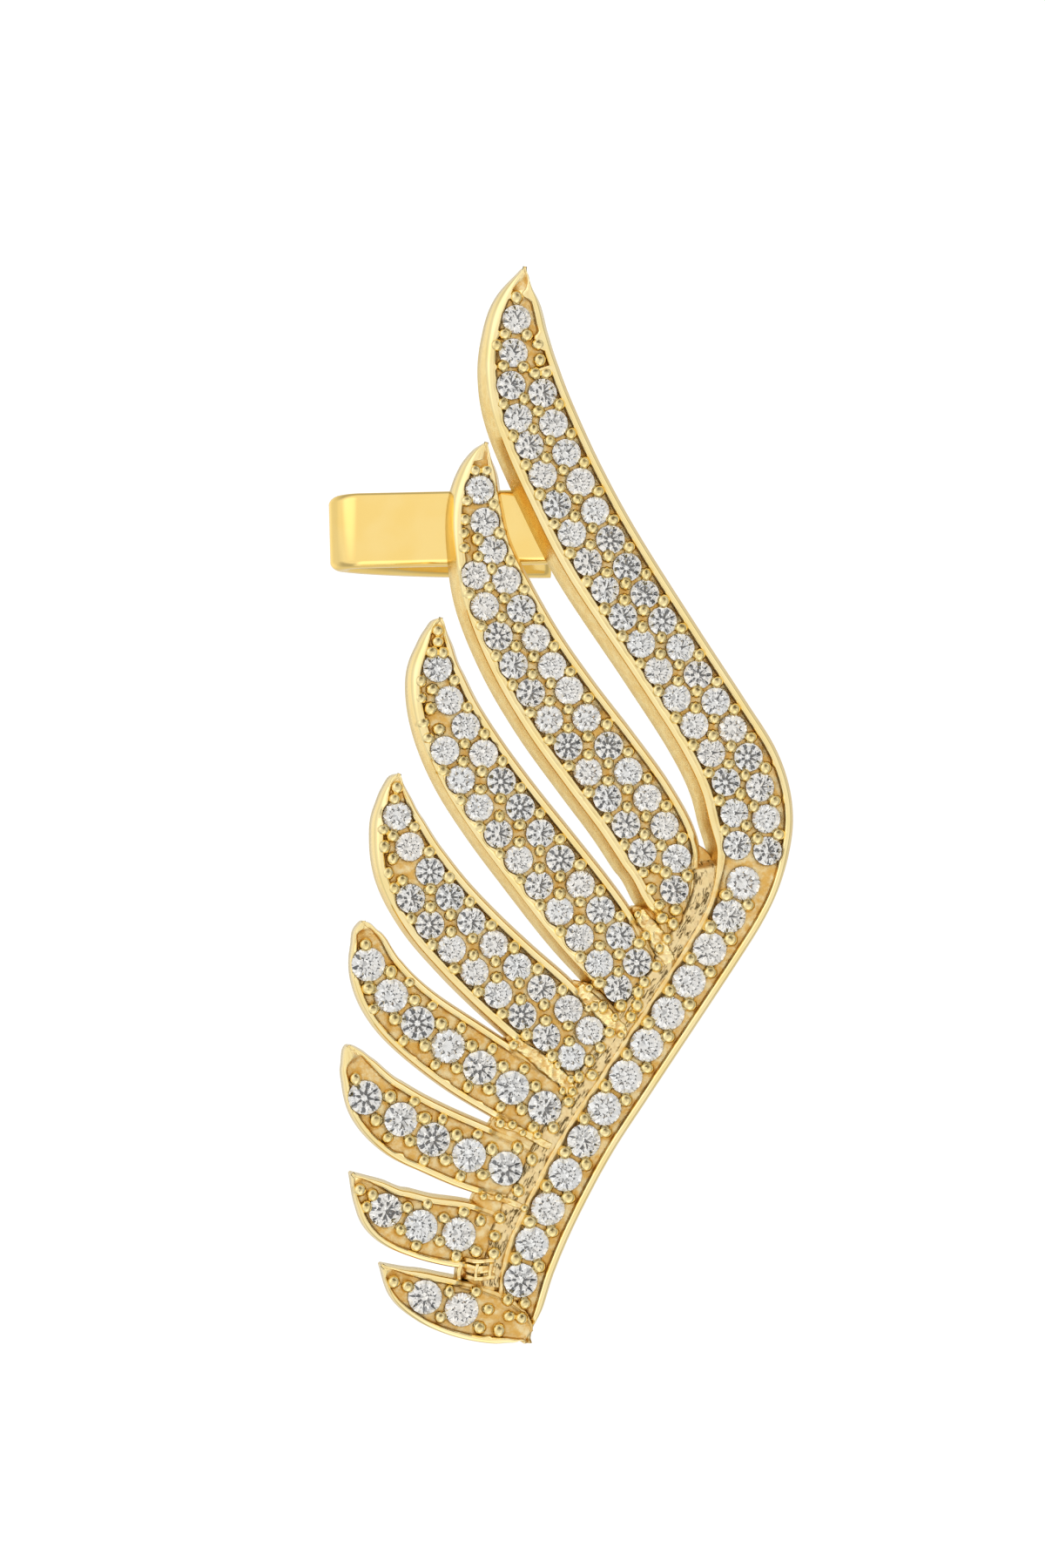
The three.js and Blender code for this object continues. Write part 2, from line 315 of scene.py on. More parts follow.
# a closed ribbon: a grid whose columns follow the section and whose rows follow the line
def ribbon(bm, line, section):
    rings = [section(at) for at in line]
    columns, rows = len(rings[0]), len(rings) - 1
    layers = bm.verts.layers.float
    kinds = ("polish", "paintedShadeAndReflection", "along", "across")
    polish, paintedShadeAndReflection, along, across = [layers.get(kind) or layers.new(kind) for kind in kinds]
    grid = bmesh.ops.create_grid(bm, x_segments=columns, y_segments=rows, size=1)["verts"]
    for vert in grid:
        column = round((vert.co.x + 1) / 2 * columns)
        row = round((vert.co.y + 1) / 2 * rows)
        side, height, shine, *dark = rings[row][column % columns]
        at = line[row]
        flat = at["at"] + at["left"] * side
        vert.co = (flat.x, flat.y, height)
        vert[polish] = shine
        # a section point's last value is painted shade
        vert[paintedShadeAndReflection] = dark[0] if dark else 0.0
        vert[along] = at["travelled"]
        vert[across] = side
    bmesh.ops.remove_doubles(bm, verts=grid, dist=weld)
    ends = [e for e in bm.edges if e.is_boundary]
    bmesh.ops.holes_fill(bm, edges=ends, sides=0)


# feathers, in millimetres; a pair is left and right, or where a change starts and ends
wing = {
    "top": 1.6, "rimCrown": 0.03, "rimValley": 0.06, "valleyRims": (0.12, 0.26), "edgeRound": 0.11,
    "tipRound": (0.34, 0.12), "tipRoundEnds": 6.0, "tipRim": 0.04, "tipDraft": 0.08,
    "closedTip": (0.1, 0.4), "spineRim": (0.12, 0.14), "spineDraft": (0.02, 0.2), "spineRimTop": 1.47,
    "rootLevel": 1.3, "rootLength": 0.5, "mostDraft": 0.4, "leastInner": 0.02, "floor": 1.29,
    "floorColumns": 16, "floorEdge": (0.03, 0.18), "seatDepth": 0.36, "seatEdge": (0.25, 0.95),
    # wallDark, with a patchy noise of given scale, places and edges, sets painted shade on the inner walls
    # and rim valleys
    "wallShine": (0.5, 0.9), "wallDark": (0.5, 0.3), "shadePatchScale": 2.2, "shadePatchPlaces": (37, 31),
    "shadePatchEdges": (-0.25, 0.3), "spacing": 0.11, "smallStone": 1.1, "largeStone": 1.3, "rowOffset": 0.6,
    "girdle": 1.42, "underGirdle": 0.07, "aroundStone": 0.04, "underStone": 43.0, "clearFrom": 0.7,
    "pocket": (0.28, 0.62), "sparePocket": 0.42, "pocketReach": (0.0, 0.16),
    "roundEdge": [(0.08, 0.6), (0.3, 0.26), (0.62, 0.06)],
}
small, large = wing["smallStone"], wing["largeStone"]

# station columns: centreline x, centreline y, half width of the base
# row columns: side (1 left, -1 right, 0 centre), first stone, pitch, count, stone size, shift to the left,
# the half width below which the row is centred, then single stones that lie a little off their row
feathers = {
    "featherOneAndSpine": {
        "rim": (0.26, 0.13), "draft": (0.27, 0.27),
        "spine": (24.2, 26.4),
        "stations": [
            (-1.38, 20.5, 0.03), (-1.52, 19.3, 0.88), (-1.6, 17.95, 1.3), (-1.47, 16.45, 1.6),
            (-1.0, 14.75, 1.75), (0.17, 12.15, 1.78), (1.62, 9.45, 1.82), (4.0, 5.82, 1.77),
            (5.8, 3.08, 1.78), (6.87, 1.18, 1.88), (7.3, -0.48, 1.86), (7.35, -2.05, 1.57),
            (7.03, -3.58, 1.27), (5.96, -5.58, 1.12), (2.7, -10.48, 1.11), (1.12, -12.88, 1.12),
            (-0.27, -15.46, 1.13), (-1.15, -17.55, 1.11), (-1.45, -19.35, 0.86), (-1.25, -20.5, 0.15),
        ],
        "pockets": [(-1.78, 19.55, 0.17), (-1.6, 19.75, 0.14), (-1.45, 19.95, 0.1), (-0.8, 16.95, 0.36)],
        "rows": [
            (1, 2.03, 1.242, 19, small, -0.02, 1.05,
             (1, (0.15, -0.07)), (2, (0.08, -0.07)), (3, (0.03, -0.12))),
            (-1, 4.93, 1.232, 17, small, 0, 1.0),
            (0, 25.73, 1.46, 13, large, 0.23, 0, (0, (0.03, -0.1))),
        ],
    },
    "featherTwo": {
        "rim": (0.26, 0.13), "draft": (0.25, 0.25),
        "stations": [
            (-2.85, 13.8, 0.04), (-2.95, 13.4, 0.4), (-3.05, 12.65, 0.8), (-3.15, 11.35, 1.1),
            (-2.98, 9.8, 1.28), (-2.42, 7.95, 1.56), (-1.35, 5.75, 1.72), (0, 3.65, 1.82),
            (1.5, 1.65, 1.86), (2.88, -0.22, 1.84), (3.83, -1.88, 1.74), (4.15, -3.25, 1.35),
            (4.35, -4.35, 0.9), (4.2, -5.7, 0.35),
        ],
        "rows": [
            (-1, 1.7, 1.243, 15, small, -0.04, 1.0,
             (0, (-0.03, -0.12)), (1, (0.02, -0.12)), (7, (-0.04, 0.12)),
             (8, (-0.1, 0.08)), (13, (-0.07, -0.12)), (14, (-0.16, -0.1))),
            (1, 5.13, 1.243, 11, small, 0, 0.9),
        ],
    },
    "featherThree": {
        "rim": (0.26, 0.14), "draft": (0.2, 0.22),
        "stations": [
            (-4.59, 7.12, 0.03), (-4.62, 6.99, 0.24), (-4.65, 6.72, 0.41), (-4.7, 6.05, 0.74),
            (-4.7, 4.85, 1.15), (-4.25, 3.25, 1.42), (-3.35, 1.5, 1.6), (-2.13, -0.28, 1.68),
            (-0.7, -2.12, 1.72), (0.75, -3.96, 1.73), (1.78, -5.28, 1.63), (2.75, -6.65, 1.35),
            (3.6, -7.7, 0.7),
        ],
        "rows": [
            (-1, 1.93, 1.244, 12, small, 0.02, 1.0, (1, (-0.04, -0.1)), (-1, (0.07, 0.09))),
            (1, 5.2, 1.255, 10, small, 0.09, 0.95, (-1, (-0.15, -0.05))),
        ],
    },
    "featherFour": {
        "rim": (0.18, 0.14), "draft": (0.08, 0.18),
        "stations": [
            (-6.17, 1.18, 0.03), (-6.22, 1.04, 0.24), (-6.26, 0.77, 0.41), (-6.26, 0.15, 0.72),
            (-6.15, -0.85, 1.1), (-5.65, -2.35, 1.45), (-4.7, -3.85, 1.6), (-3.45, -5.25, 1.65),
            (-2.02, -6.63, 1.68), (-0.48, -7.98, 1.67), (0.7, -9.1, 1.45), (1.75, -10.25, 0.9),
        ],
        "rows": [
            (-1, 1.63, 1.237, 10, small, 0.02, 1.0,
             (1, (-0.09, -0.08)), (-1, (0.13, 0.16)), (-2, (0.1, 0.02))),
            (1, 4.92, 1.235, 8, small, 0.08, 0.95),
        ],
    },
    "featherFive": {
        "rim": (0.13, 0.13), "draft": (0.04, 0.12), "tipRound": 0.14,
        "stations": [
            (-7.55, -4.42, 0.04), (-7.52, -4.53, 0.24), (-7.48, -4.66, 0.39), (-7.4, -4.95, 0.55),
            (-7.25, -5.35, 0.76), (-6.95, -6.35, 1.06), (-6.35, -7.35, 1.25), (-5.35, -8.35, 1.36),
            (-3.55, -9.65, 1.45), (-1.65, -10.85, 1.4), (-0.35, -11.65, 1.35), (0.6, -12.2, 0.85),
        ],
        "pockets": [(-7.5, -4.93, 0.24), (-7.4, -5.3, 0.45)],
        "rows": [(0, 1.6, 1.46, 7, large, 0.04, 0, (0, (-0.22, -0.11)))],
    },
    "featherSix": {
        "rim": (0.13, 0.13), "draft": (0.04, 0.12), "tipRound": 0.14,
        "stations": [
            (-8.11, -9.14, 0.04), (-8.06, -9.26, 0.23), (-7.85, -9.66, 0.52), (-7.6, -10.17, 0.79),
            (-6.93, -11.27, 1.2), (-5.9, -12.15, 1.37), (-4.6, -12.8, 1.37), (-3.2, -13.4, 1.36),
            (-1.65, -13.95, 1.25), (-0.65, -14.35, 0.85),
        ],
        "pockets": [(-7.8, -9.8, 0.25), (-7.78, -10.1, 0.4), (-7.6, -10.5, 0.6)],
        "rows": [(0, 2.03, 1.495, 5, large, 0.05, 0, (0, (-0.25, -0.17)), (1, (0.08, 0.06)))],
    },
    "featherSeven": {
        "rim": (0.13, 0.12), "draft": (0.04, 0.1), "tipRound": 0.14,
        "stations": [
            (-7.98, -13.99, 0.05), (-7.22, -14.82, 0.75), (-6.42, -15.57, 1.15), (-5.2, -16.05, 1.27),
            (-3.65, -16.35, 1.32), (-2.35, -16.6, 1.1), (-1.6, -16.78, 0.7),
        ],
        "rows": [(0, 1.92, 1.49, 3, large, 0.03, 0)],
    },
    "featherEight": {
        "rim": (0.13, 0.12), "draft": (0.04, 0.1), "tipRound": 0.14,
        "stations": [
            (-6.84, -17.47, 0.05), (-5.95, -18.25, 0.74), (-5, -18.75, 1.02), (-4.05, -19.08, 1.13),
            (-3.05, -19.35, 1.12), (-2.05, -19.65, 0.95), (-1.45, -19.98, 0.62), (-1.2, -20.2, 0.3),
        ],
        "pockets": [(-2.0, -19.7, 0.6), (-1.55, -20.0, 0.5)],
        "rows": [(0, 2.09, 1.48, 2, large, 0.04, 0)],
    },
}


# the stones of a row, with what the feather's line says there
def rowStones(feather, row):
    side, first, pitch, count, size, shift, centredHalf = row[:7]
    path = []
    for at in smoothLine(feather["stations"], 0.1):
        away = side * min(wing["rowOffset"], max(0.0, at["half"] - centredHalf)) + shift
        path.append((at["at"] + at["left"] * away, at))
    stones, travelled = [], 0.0
    for (before, _), (after, at) in zip(path, path[1:]):
        step = (after - before).length
        while len(stones) < count and travelled + step >= first + len(stones) * pitch:
            spot = before.lerp(after, (first + len(stones) * pitch - travelled) / step)
            along = (after - before).normalized()
            stones.append({**at, "spot": spot, "size": size, "side": side, "along": along})
        travelled += step
    for index, shift in row[7:]:
        stones[index]["spot"] += Vector(shift)
    return stones


def spotTree(spots):
    tree = KDTree(len(spots))
    for i, spot in enumerate(spots):
        tree.insert((*spot, 0), i)
    tree.balance()
    return tree


for feather in feathers.values():
    feather["stones"] = [rowStones(feather, row) for row in feather["rows"]]

allStones = [stone for feather in feathers.values() for row in feather["stones"] for stone in row]
stoneTree = spotTree([stone["spot"] for stone in allStones])


# metal lies a little below the underside of any stone above it
def clearStones(bm):
    slope = math.tan(math.radians(wing["underStone"]))
    for vert in bm.verts:
        if vert.co.z < wing["clearFrom"]:
            continue
        for _, i, away in stoneTree.find_range((vert.co.x, vert.co.y, 0), large / 2):
            inside = allStones[i]["size"] / 2 - away
            if inside > 0:
                vert.co.z = min(vert.co.z, wing["girdle"] - wing["underGirdle"] - inside * slope)


# beads that hold no stone: on the first tip, then in pockets of the second tip, the root ends and the foot
spareBeads = {"onTop": [
    (-1.69, 19.33), (-2.13, 17.93), (-1.29, 17.9), (-0.85, 17.55), (-2.46, 17.5), (-0.8, 16.95),
    (-2.2, 16.72), (-1.42, 16.68), (-0.98, 16.45), (-0.56, 16.45), (-7.83, -10.4), (-7.45, -5.32),
], "inPockets": [
    (-3.26, 12.72), (-2.83, 12.73), (-3.6, 11.56), (-3.66, 10.86), (-3.73, 10.33), (-3.7, 9.77),
    (-3.16, 9.44), (-4.7, 6.62), (-4.7, 6.2), (-4.92, 5.8), (-4.5, 5.78), (-5.35, 4.7), (-4.9, 4.38),
    (-5.35, 4.05), (-4.98, 3.65), (-5.25, 3.1), (-4.65, 2.87), (-5.07, 2.53), (-6.25, 0.65),
    (-6.35, 0.22), (-6.78, -0.95), (-6.75, -1.6), (-6.42, -2.05), (-6.6, -2.6), (-6.05, -2.87),
    (-6.37, -3.17), (3.17, -2.59), (3.67, -2.44), (4.03, -2.59), (4.87, -2.71), (3.47, -3.21),
    (3.78, -3.82), (4.43, -4.01), (3.9, -4.32), (4.32, -4.54), (3.99, -4.97), (3.67, -6.15),
    (3.21, -6.76), (2.98, -7.15), (2.94, -7.64), (2.31, -7.65), (2.7, -8.08), (1.6, -7.7),
    (1.87, -8.67), (1.52, -9.25), (1.09, -9.75), (1.2, -10.3), (0.7, -10.36), (0.3, -11.3),
    (0.9, -11.97), (-0.28, -12.3), (-1.1, -13.5), (-1.65, -13.05), (-1.62, -14.68),
    (-7.67, -14.62), (-7.18, -14.82), (-7.42, -15.27), (-6.12, -16.15), (-5.52, -16.75),
    (-4.63, -16.59), (-5.86, -15.3), (-5.09, -15.17), (-4.46, -15.7), (-3.7, -15.47),
    (-3.06, -15.81), (-2.33, -15.71), (-2.53, -16.41), (-3.23, -16.97), (-2.56, -17.07),
    (-3.99, -17.16), (-6.38, -18.12), (-5.84, -18.3), (-4.59, -19.47), (-4.26, -18.51),
    (-3.23, -18.52), (-2.76, -19.19), (-3.1, -19.88), (-2.36, -19.98), (-1.5, -19.53),
    (-1.96, -19.46), (-1.36, -18.97), (-2.03, -18.83),
]}

# where the gaps between neighbours close, from the top down
forks = [Vector(spot) for spot in (
    (5.43, -1.53), (2.92, -4.06), (0.61, -6.88), (-1.93, -8.96), (-2.69, -12.04), (-3.29, -14.82),
    (-3.92, -17.66))]


# a feather's closed outline at one station; forkPlaces say where its left and right rims sink
def featherSection(feather, forkPlaces):
    seats = [(s["spot"], s["size"]) for row in feather["stones"] for s in row]
    pockets = [(spot, size / 2 + wing["pocket"][size > small]) for spot, size in seats]
    pockets += [(Vector(spot[:2]), spot[2]) for spot in feather.get("pockets", [])]
    pockets += [(Vector(spot), wing["sparePocket"]) for spot in spareBeads["inPockets"]]
    underStones = [(spot, size / 2 + wing["aroundStone"]) for spot, size in seats]
    spine = feather.get("spine", (1e3, 1e4))
    tipRound = (feather.get("tipRound", wing["tipRound"][0]), wing["tipRound"][1])
    least, columns = wing["leastInner"], wing["floorColumns"]

    def section(at):
        half, travelled = at["half"], at["travelled"]
        onSpine = smoothStep(travelled, *spine)
        nearTip = 1 - smoothStep(travelled, 1.0, wing["tipRoundEnds"])
        narrow = smoothStep(half, 0.1, 1.0)
        along = Vector((-at["left"].y, at["left"].x))

        # how far to a side the section meets any of these circles
        def reachOf(rounds, side):
            reaches = []
            for spot, radius in rounds:
                ahead, away = (spot - at["at"]).dot(along), (spot - at["at"]).dot(at["left"])
                if abs(ahead) < radius and abs(away) < half:
                    reaches.append(side * away + math.sqrt(radius * radius - ahead * ahead))
            return max(reaches, default=0.0)

        walls, floorEnds, levels = [], [], []
        for i, side in enumerate((1, -1)):
            leftTip, leftSpine = (0.0, 0.0) if i else (nearTip, onSpine)
            draft = mix(feather["draft"][i], wing["spineDraft"][i], onSpine)
            draft = mix(draft, min(draft, wing["tipDraft"]), leftTip)
            draft = min(draft, half * wing["mostDraft"])
            rounding = mix(wing["edgeRound"], tipRound[i], nearTip) * narrow
            wall = half - draft
            shoulder = wall - rounding
            rim = mix(feather["rim"][i], wing["tipRim"], leftTip)
            rim = mix(rim, wing["spineRim"][i], onSpine) * narrow
            rooted = smoothStep(travelled, forkPlaces[i], forkPlaces[i] + wing["rootLength"])
            rimTop = mix(mix(wing["top"], wing["spineRimTop"], leftSpine), wing["rootLevel"], rooted)
            shine = (1 - 0.6 * rooted) * (1 - 0.6 * leftSpine)
            wallShine = mix(*wing["wallShine"], nearTip)
            crown = wing["rimCrown"] * narrow
            valley = wing["rimValley"] * smoothStep(rim, *wing["valleyRims"])
            # painted shade: patchy darkening on the inner wall and in the rim's valley, stronger where the
            # channel is deep
            shadePatch = wave(*at["at"] * wing["shadePatchScale"], wing["shadePatchPlaces"][i])
            shadePatch = smoothStep(shadePatch, *wing["shadePatchEdges"]) * (1 - 0.8 * leftSpine)
            # the rim reaches in to the pockets and stays clear of the stones
            held = min(reachOf(underStones, side), wall - rounding * 0.4 - 0.08)
            inner = min(shoulder - rim, reachOf(pockets, side) + wing["pocketReach"][i])
            inner = mix(least, max(inner, held, least), smoothStep(travelled, *wing["closedTip"]))
            shoulder = max(shoulder, inner + 0.06)
            bare = smoothStep(inner, *wing["floorEdge"])
            deep = smoothStep(inner, 0.05, 0.45)
            floor = mix(rimTop - 0.02, wing["floor"], deep)
            wallDark = [dark * shadePatch * deep for dark in wing["wallDark"]]
            # from the back, up the wall, over the rim and down to the floor: away, height, polish, painted
            # shade
            points = [
                (half - 0.12, 0.0, 0.7),
                (half - 0.03, 0.02, 0.6),
                (half, 0.1, wallShine),
                (half - draft * 0.55, rimTop * 0.55, wallShine),
                (wall, rimTop - rounding, wallShine),
                *[(wall - rounding * x, rimTop - rounding * z, shine) for x, z in wing["roundEdge"]],
                (shoulder, rimTop - crown * 0.2, shine),
                (mix(shoulder, inner, 0.3), rimTop, shine),
                # painted shade in the valley between the rim's two crests
                (mix(shoulder, inner, 0.52), rimTop - valley, shine * 0.6, valley * 3 * shadePatch),
                (inner + 0.05, rimTop - crown * 0.2, shine),
                (inner + 0.02, rimTop - crown * 0.6, shine),
                (inner + 0.004, rimTop - crown - 0.02, shine * 0.8),
                # painted shade down the inner wall
                (inner - 0.012, mix(rimTop, floor, 0.3), 0.35, wallDark[0]),
                (inner - 0.024, mix(rimTop, floor, 0.65), 0.2, wallDark[1]),
                (inner - 0.036, floor + 0.03 * deep, 1 - bare),
            ]
            walls.append([(side * max(x, 0.004), *rest) for x, *rest in points])
            floorEnds.append(side * max(inner - 0.05, 0.003))
            levels.append(floor)
        floors = []
        for i in range(columns + 1):
            x, z = mix(*floorEnds, i / columns), mix(*levels, i / columns)
            spot = at["at"] + at["left"] * x
            for seat, size in seats:
                away = (spot - seat).length / (size / 2)
                if away < 1:
                    z -= wing["seatDepth"] * (1 - smoothStep(away, *wing["seatEdge"]))
            floors.append((x, z, 1 - bare))
        return [(0.0, 0.0, 0.8), *walls[0], *floors, *reversed(walls[1])]

    return section


# how far inside a feather's edge a flat spot lies, and how far along the feather
def edgeFinder(feather):
    line = smoothLine(feather["stations"], 0.08)
    tree = spotTree([at["at"] for at in line])

    def inside(spot):
        _, i, away = tree.find((spot.x, spot.y, 0))
        return line[i]["half"] - away, line[i]["travelled"]

    return inside


names = list(feathers)
edges = {name: edgeFinder(feather) for name, feather in feathers.items()}
roots = {
    "spineFrom": 24.0, "spineAside": -0.7, "spineEdge": (-0.1, 0.06), "trenchEdge": (-0.54, -0.42),
    "neighbourEdge": (-0.06, 0.08), "underTrench": 1.3, "underSpine": 0.65, "underNeighbour": 0.9,
    "underFoot": 0.95, "footFrom": -18.35, "footOverlap": 0.5, "footRimEnds": (-2.25, -18.1),
}


# a feather's end dives under the spine, the rough groove and the next feather
def rootLimit(name, spot):
    limit = 9.0
    if name == names[0]:
        depth, _ = edges[names[-1]](spot)
        inFoot = depth > 0.05 and spot.y < roots["footFrom"] - roots["footOverlap"]
        return roots["underFoot"] if inFoot else limit
    depth, travelled = edges[names[0]](spot)
    inFoot = name == names[-1] and spot.y < roots["footFrom"]
    if travelled > roots["spineFrom"] and depth > roots["spineAside"] and not inFoot:
        limit = mix(wing["top"], roots["underTrench"], smoothStep(depth, *roots["trenchEdge"]))
        limit = mix(limit, roots["underSpine"], smoothStep(depth, *roots["spineEdge"]))
    own, here = edges[name](spot)[0], names.index(name)
    for other in names[max(here - 1, 1):here + 2]:
        depth = edges[other](spot)[0]
        if other != name and depth > 0:
            share = smoothStep(depth - own, *roots["neighbourEdge"])
            limit = min(limit, mix(wing["top"], roots["underNeighbour"], share))
    return limit


def makeFeathers():
    node = next(iter(frame["nodes"]))
    for i, (name, feather) in enumerate(feathers.items()):
        leftEnd = Vector(roots["footRimEnds"]) if i == 0 else forks[min(i, len(forks) - 1)]
        leftFork = edges[name](leftEnd)[1] if i < len(forks) else 1e3
        rightFork = edges[name](forks[i - 1])[1] if i else 1e3
        bm = bmesh.new()
        line = smoothLine(feather["stations"], wing["spacing"])
        ribbon(bm, line, featherSection(feather, (leftFork, rightFork)))
        for vert in bm.verts:
            if vert.co.z > roots["underSpine"]:
                vert.co.z = min(vert.co.z, rootLimit(name, vert.co.xy))
        clearStones(bm)
        finishPiece(name, bm, gold, replaced=node)


makeFeathers()


# the rough groove beside the spine, the ridges in the forks and the web under them
rootMetal = {
    "grooveFrom": (5.72, -2.0), "grooveTo": (-2.75, -18.6), "grooveAway": 0.27, "grooveHalf": 0.42,
    "ridges": [
        [(2.84, -3.9, 0.08), (3.22, -4.32, 0.26), (3.66, -4.98, 0.34), (3.98, -5.65, 0.34),
         (4.15, -6.05, 0.25)],
        [(0.52, -6.75, 0.08), (0.92, -7.13, 0.24), (1.5, -7.78, 0.3), (2.15, -8.5, 0.3), (2.4, -8.8, 0.22)],
        [(-2.03, -8.84, 0.08), (-1.46, -9.18, 0.22), (-0.56, -9.93, 0.3), (0.3, -10.75, 0.28),
         (0.6, -11.05, 0.2)],
    ],
    "bars": [
        [(-2.62, -11.96, 0.08), (-2.35, -12.05, 0.13), (-1.6, -12.35, 0.14), (-0.75, -12.85, 0.17),
         (-0.4, -13.05, 0.15)],
        [(-3.26, -14.75, 0.08), (-3.0, -14.8, 0.1), (-2.3, -14.97, 0.12), (-1.73, -15.19, 0.13),
         (-1.4, -15.35, 0.1)],
        [(-3.86, -17.62, 0.08), (-3.6, -17.62, 0.16), (-3.2, -17.63, 0.18), (-2.7, -17.65, 0.16),
         (-2.5, -17.7, 0.15)],
    ],
    "forkFloors": [
        [(2.82, -3.9, 0.08), (3.14, -4.26, 0.38), (3.6, -4.98, 0.5), (3.98, -5.75, 0.5), (4.2, -6.1, 0.4)],
        [(0.5, -6.75, 0.08), (0.9, -7.1, 0.36), (1.53, -7.77, 0.46), (2.2, -8.57, 0.46), (2.45, -8.8, 0.4)],
        [(-2.05, -8.85, 0.08), (-1.48, -9.17, 0.34), (-0.58, -9.95, 0.44), (0.3, -10.8, 0.46),
         (0.65, -11.1, 0.38)],
        [(-2.62, -12.07, 0.2), (-2.35, -12.22, 0.32), (-1.6, -12.6, 0.4), (-0.7, -13.0, 0.42),
         (-0.4, -13.2, 0.36)],
        [(-3.28, -14.87, 0.2), (-3.0, -14.98, 0.33), (-2.3, -15.25, 0.42), (-1.73, -15.45, 0.42),
         (-1.5, -15.55, 0.35)],
        [(-3.86, -17.7, 0.2), (-3.6, -17.72, 0.3), (-3.2, -17.83, 0.44), (-2.7, -17.97, 0.57),
         (-2.4, -18.05, 0.57)],
    ],
    "rails": [
        [(-3.86, -17.33, 0.08), (-3.2, -17.3, 0.09), (-2.5, -17.33, 0.09)],
        [(-3.86, -17.95, 0.08), (-3.2, -17.97, 0.09), (-2.5, -17.95, 0.09)],
        [(-3.84, -17.2, 0.09), (-3.84, -17.65, 0.09), (-3.84, -18.05, 0.09)],
        [(-3.2, -17.2, 0.07), (-3.2, -17.65, 0.07), (-3.2, -18.0, 0.07)],
        [(-2.66, -17.2, 0.08), (-2.66, -17.65, 0.08), (-2.66, -18.0, 0.08)],
    ],
    "web": [
        [(5.36, -1.55, 0.05), (5.55, -2.0, 0.3), (5.6, -3, 0.5), (4.6, -5.2, 0.8), (2.4, -8.6, 1),
         (0, -12, 0.9), (-1.6, -15.2, 0.8), (-2.2, -18.2, 0.7)],
    ],
    # piece, its strips, their spacing and top, and for lumpy ones the polish, fineness and bumpiness
    "strips": [
        ("roughGroove", "groove", 0.05, (1.45, 0.3, 1.0, 0.05)),
        ("forkRidges", "ridges", 0.05, (1.52, 1.0, 0.5, 0.13)),
        ("forkRidges", "bars", 0.05, (1.52, 1.0, 0.5, 0.03)),
        ("forkRidges", "rails", 0.08, (1.6, 1.0, 0.3, 0.03)),
        ("rootWeb", "web", 0.3, (0.78,)),
        ("rootWeb", "forkFloors", 0.1, (1.28,)),
    ],
    # edgeDark is the strength of painted shade along the lumpy strips' edges
    "edgeDark": 0.6, "crumbs": 5, "webShoulder": 0.05, "lumpyFoot": 0.6,
    # half of a lumpy strip: how far out, and how far down from its top
    "lumpyProfile": [(1, 0.3), (0.93, 0.14), (0.8, 0.05), (0.64, 0.01), (0.46, 0), (0.28, 0), (0.1, 0)],
}


def lumps(spot, fine):
    scales = ((3, 1), (7, 3), (15, 5))
    broad, middling, tiny = [wave(spot.x * scale, spot.y * scale, level) for scale, level in scales]
    return broad * (1.3 - fine) + middling * 0.9 + tiny * 0.6 * fine


def lumpySection(top, shine, fine, bumpiness):
    foot, profile = rootMetal["lumpyFoot"], rootMetal["lumpyProfile"]
    profile = [*profile, *[(-side, drop) for side, drop in reversed(profile)]]

    def section(at):
        travelled = at["travelled"]
        low = smoothStep(travelled, 0.0, 0.3)
        half = at["half"] * (1.1 + 0.3 * wave(travelled * 2.1, top, 23))
        shift = 0.12 * low * wave(travelled * 1.7, top, 29)
        ring = [(0.0, foot, 0.0), (half + shift, foot, 0.0)]
        for side, drop in profile:
            x = side * half + shift
            lift = lumps(at["at"] + at["left"] * x, fine)
            height = mix(top - 0.5, top - drop, low) + bumpiness * lift
            # painted shade: patchy darkening along the strip's edges, where it meets the metal around it
            shadePatch = smoothStep(wave(travelled * 2.6, side, 41), -0.2, 0.15)
            dark = rootMetal["edgeDark"] * shadePatch * smoothStep(abs(side), 0.62, 0.85)
            ring.append((x, height, shine * smoothStep(lift, -0.3, 0.2), dark))
        return [*ring, (shift - half, foot, 0.0)]

    return section


def webSection(top):
    shoulder = rootMetal["webShoulder"]

    def section(at):
        half = at["half"]
        side = [(half, 0, 0.5), (half, top - shoulder, 0.2), (half - shoulder, top, 0.1)]
        return [(0, 0, 0.7), *side, (0, top, 0.1), *[(-x, *rest) for x, *rest in reversed(side)]]

    return section


def grooveStations():
    start, end = [edges[names[0]](Vector(rootMetal[key]))[1] for key in ("grooveFrom", "grooveTo")]
    stations = []
    for at in smoothLine(feathers[names[0]]["stations"], 0.05)[::6]:
        travelled = at["travelled"]
        if start <= travelled <= end:
            fade = smoothStep(travelled, start - 0.1, start + 0.5) * smoothStep(end + 0.2 - travelled, 0, 0.6)
            centre = at["at"] + at["left"] * (at["half"] + rootMetal["grooveAway"])
            stations.append((*centre, rootMetal["grooveHalf"] * fade))
    return stations


def makeRoots():
    rootMetal["groove"] = [grooveStations()]
    pieces = {}
    for piece, key, spacing, values in rootMetal["strips"]:
        if piece not in pieces:
            pieces[piece] = bmesh.new()
        section = lumpySection(*values) if len(values) > 1 else webSection(*values)
        for stations in rootMetal[key]:
            ribbon(pieces[piece], smoothLine(stations, spacing), section)
    for piece, bm in pieces.items():
        clearStones(bm)
        finishPiece(piece, bm, bareGold if piece == "roughGroove" else gold)


makeRoots()


